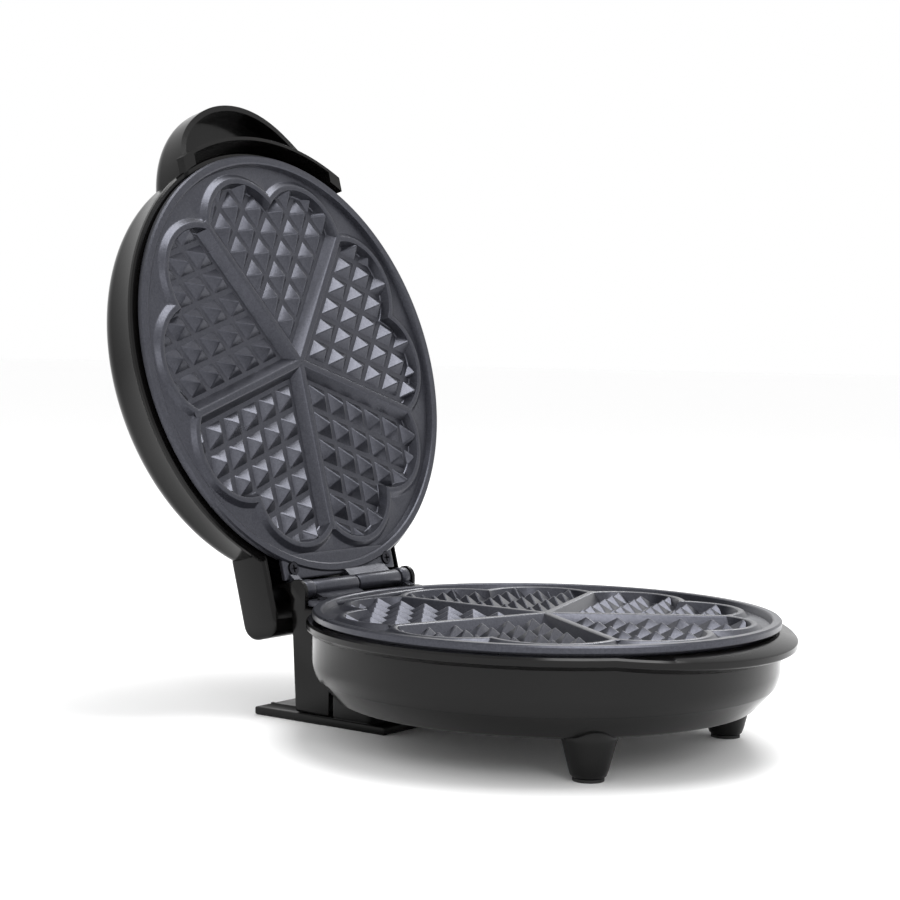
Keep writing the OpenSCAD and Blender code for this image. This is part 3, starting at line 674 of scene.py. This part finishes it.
hood = solid("hood", [(hood_r, -1)] + arc(lid_round, hood_r - lid_round, lid_edge - lid_round, 0, 88, 10)
             + [(2, lid_edge + 0.4)], (0, -hood_reach), 192)
front_only = block("front_only", (-100, -hood_reach - 100, -20), (100, -hood_reach, 60))
carve(hood, front_only, "INTERSECT")
hollow = solid("finger_hollow", [(hood_r - wall, -5), (hood_r - wall, ceiling)], (0, -hood_reach), 192)
front_only = block("front_only", (-100, -hood_reach - 100, -20), (100, -hood_reach + 5, 60))
carve(hollow, front_only, "INTERSECT")
carve(hood, hollow)
# seen from the side, the hood's edge slopes away from the drum and levels out at its front
hood_front = -hood_reach - hood_r - 20
edge_line = [(-plate_r + 6.3, flange_drop), (-plate_r + 3, 5.7), (-plate_r, 7.0), (-plate_r - 4, 8.55),
             (-plate_r - 8, 9.75), (-plate_r - 12, 10.45), (-plate_r - 16, 10.85),
             (-plate_r - 21, hood_edge), (hood_front, hood_edge)]
slope = extruded("slope", [(0, flange_drop)] + edge_line + [(hood_front, -20), (0, -20)], -90, 90)
carve(hood, slope)
drum_space = solid("drum_space", [(plate_r - 1, -5), (plate_r - 1, lid_edge - lid_round),
                                  (plate_r - lid_round, lid_edge - 1.5), (2, lid_edge - 1.5)], segments=288)
carve(hood, drum_space)
soften(hood, 0.5, 38, 2, harden=True)


def shroud_shape(inset, low):
    """The shroud from the side; with an inset, the space inside it, open at the bottom."""
    corner, corner_y = shroud_corner - inset, shroud_end - shroud_corner
    below = [(corner_y, low)] if inset else []
    return ([(plate_r - 20, low)] + below + arc(corner, corner_y, shroud_edge + shroud_corner, -90, 0, 8)
            + arc(corner, corner_y, shroud_back - shroud_corner, 0, 90, 8)
            + [(plate_r - 20, shroud_back - inset)])


shroud = extruded("shroud", shroud_shape(0, shroud_edge), -shroud_half, shroud_half)
modifier(shroud, "BEVEL", {"width": 2.0 * mm, "segments": 4, "limit_method": "ANGLE",
                           "angle_limit": math.radians(60)})
tray = extruded("tray", shroud_shape(shroud_wall, shroud_edge - 8),
                -shroud_half + shroud_wall, shroud_half - shroud_wall)
carve(shroud, tray)
drum_space = solid("drum_space", [(plate_r - 1, -5), (plate_r - 1, 40)], segments=288)
carve(shroud, drum_space)
soften(shroud, 0.4, 38, 2, harden=True)
way_half = shroud_half - shroud_wall - 0.2
way = block("way", (-way_half, plate_r - 25, -1), (way_half, plate_r + 6, flange_drop + 6))
carve(lid_case, way)
smooth(lid_case)
merge(lid_case, [hood, shroud])
give(lid_case, gloss_abs)
on_lid(lid_case)
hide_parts("lid_shell", "grip_liner")

# ---------------------------------------------------------------- Finger guard
# Thin curved wall clipped in below the hood, with an end wall at each side, that keeps
# the fingers off the hot plate.
guard_r, guard_half, guard_t, guard_end = plate_r + 8.5, 51.6, 1.5, 7

guard = solid("finger_wall", [(guard_r - guard_t, 0), (guard_r, 0), (guard_r, ceiling),
                              (guard_r - guard_t, ceiling), (guard_r - guard_t, 0)], segments=360)
span = block("span", (-guard_half, -150, -1), (guard_half, -hood_reach - 8, ceiling + 1))
carve(guard, span, "INTERSECT")
for side in (-1, 1):
    near, far = sorted((side * guard_half, side * (guard_half - guard_end)))
    end = block("end", (near, -guard_r, 0), (far, -plate_r * 0.86, ceiling))
    disc = solid("disc", [(guard_r - 0.3, -1), (guard_r - 0.3, ceiling + 1)], segments=360)
    carve(end, disc, "INTERSECT")
    carve(guard, end, "UNION")
flange_space = solid("flange_space", [(flange_r + 0.2, -3), (flange_r + 0.2, ceiling + 3)], segments=288)
carve(guard, flange_space)
# beyond the hood's inner wall it only stands in front of the hood's edge
hood_in = hood_r - wall
outside_hood = solid("outside_hood", [(hood_in, -5), (hood_r + 30, -5), (hood_r + 30, 40), (hood_in, 40),
                                      (hood_in, -5)], (0, -hood_reach), 192)
behind_edge = extruded("behind_edge", [(0, flange_drop)] + edge_line + [(hood_front, 60), (0, 60)], -90, 90)
carve(outside_hood, behind_edge, "INTERSECT")
carve(guard, outside_hood)
soften(guard, 0.35, 35, 2, harden=True)
give(guard, gloss_abs)
on_lid(guard)
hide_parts("finger_guard")

# ---------------------------------------------------------------- Tower cover, pads and cord bush
# A slotted satin plate closes the tower from below, a rubber bush lines the cord's hole, and
# round rubber pads sit under the front feet and the foot plate. Their shapes are kept.
rubber = new_material("moulded_rubber")
# Matt black rubber with a dry, slightly dusty look.
place = add(rubber, "ShaderNodeTexCoord", {}).outputs["Object"]
grain = add(rubber, "ShaderNodeTexNoise", {"Scale": 1 / 0.0007, "Detail": 4.0}, [("Vector", place)])
skin = add(rubber, "ShaderNodeBump", {"Strength": 0.3, "Distance": 0.0001},
           [("Height", grain.outputs["Fac"])])
surface(rubber, {"Base Color": linear("#1a1a1a"), "Roughness": 0.75}, [("Normal", skin.outputs["Normal"])])


def finish(material, *nodes):
    """Gives a material to pieces whose shape is kept."""
    for node in nodes:
        give(frame["nodes"][node], material)


finish(satin_abs, "tower_cover")
finish(rubber, "foot_pads", "cord_bush")

# ---------------------------------------------------------------- Fasteners and hinge pin
# Blackened cross-head screws hold the plates and covers. The turned hinge pin, its clips and
# the pressed clamps of the heating elements are zinc-plated.


def metal(name, dark, light, low, high, grit):
    """A metal whose colour and shine vary over grains of the given size in metres."""
    material = new_material(name)
    where = add(material, "ShaderNodeTexCoord", {}).outputs["Object"]
    patch = add(material, "ShaderNodeTexNoise", {"Scale": 1 / grit, "Detail": 4.0},
                [("Vector", where)]).outputs["Fac"]
    mix = add(material, "ShaderNodeMix", {"data_type": "RGBA", "A": linear(dark), "B": linear(light)},
              [("Factor", patch)])
    gloss = add(material, "ShaderNodeMapRange",
                {"From Min": 0.3, "From Max": 0.7, "To Min": low, "To Max": high}, [("Value", patch)])
    surface(material, {"Metallic": 1.0},
            [("Roughness", gloss.outputs["Result"]), ("Base Color", in_use(mix.outputs, "Result"))])
    return material


# Bright zinc: pale grey, with a dull gleam.
zinc_plate = metal("zinc_plated_steel", "#9a9a98", "#b8b8b4", 0.25, 0.4, 0.002)
# Oil-blackened steel: nearly black, half shiny.
black_steel = metal("blackened_steel", "#242428", "#3c3c42", 0.3, 0.45, 0.0008)
finish(zinc_plate, "hinge_pin", "pin_clips", "lower_element_clamps", "upper_element_clamps")
finish(black_steel, "lower_tab_screws", "upper_tab_screws", "base_cover_screws", "foot_plate_screws",
       "upper_shield_screws")

# ---------------------------------------------------------------- Heating parts
# Tubular elements lie on the backs of the plates, with a pressed aluminium heat shield behind
# each. The thermostat and the terminal block have ceramic bodies, and the fuse a plated case.

# Steel sheath browned by heat: dull, with warm grey blotches.
element_steel = metal("oxidised_element_steel", "#4b443e", "#6b6158", 0.4, 0.6, 0.003)
# Mill-rolled sheet: pale and softly bright.
sheet = metal("rolled_aluminium_sheet", "#a9aaab", "#c9caca", 0.25, 0.4, 0.004)


def mottled(name, grain_size, detail, low, high, settings):
    """A material of one colour whose roughness varies from low to high over its grains, in metres."""
    material = new_material(name)
    where = add(material, "ShaderNodeTexCoord", {}).outputs["Object"]
    mottle = add(material, "ShaderNodeTexNoise", {"Scale": 1 / grain_size, "Detail": detail},
                 [("Vector", where)])
    gloss = add(material, "ShaderNodeMapRange", {"To Min": low, "To Max": high},
                [("Value", mottle.outputs["Fac"])])
    surface(material, settings, [("Roughness", gloss.outputs["Result"])])
    return material


# Pressed and fired ceramic: cream, faintly mottled, nearly matt.
steatite = mottled("fired_steatite", 0.002, 5.0, 0.45, 0.65, {"Base Color": linear("#e2dccb")})
finish(element_steel, "lower_element", "upper_element")
finish(sheet, "lower_heat_shield", "upper_heat_shield")
finish(steatite, "thermostat", "terminal_block")
finish(zinc_plate, "thermal_fuse")

# ---------------------------------------------------------------- Pilot lamps
# Two small red acrylic lenses show through the lid, over a board of phenolic paper
# laminate that carries the lamps.

# Clear dyed acrylic with a moulded gloss.
lens = mottled("red_acrylic_lens", 0.001, 2.0, 0.08, 0.14,
               {"Base Color": linear("#a01208"), "Transmission Weight": 0.5, "IOR": 1.49})
# Brown board with a faint fibre pattern.
board = mottled("paper_laminate_board", 0.0015, 6.0, 0.5, 0.7, {"Base Color": linear("#8a6a3c")})
finish(lens, "lamp_lenses")
finish(board, "lamp_holder")
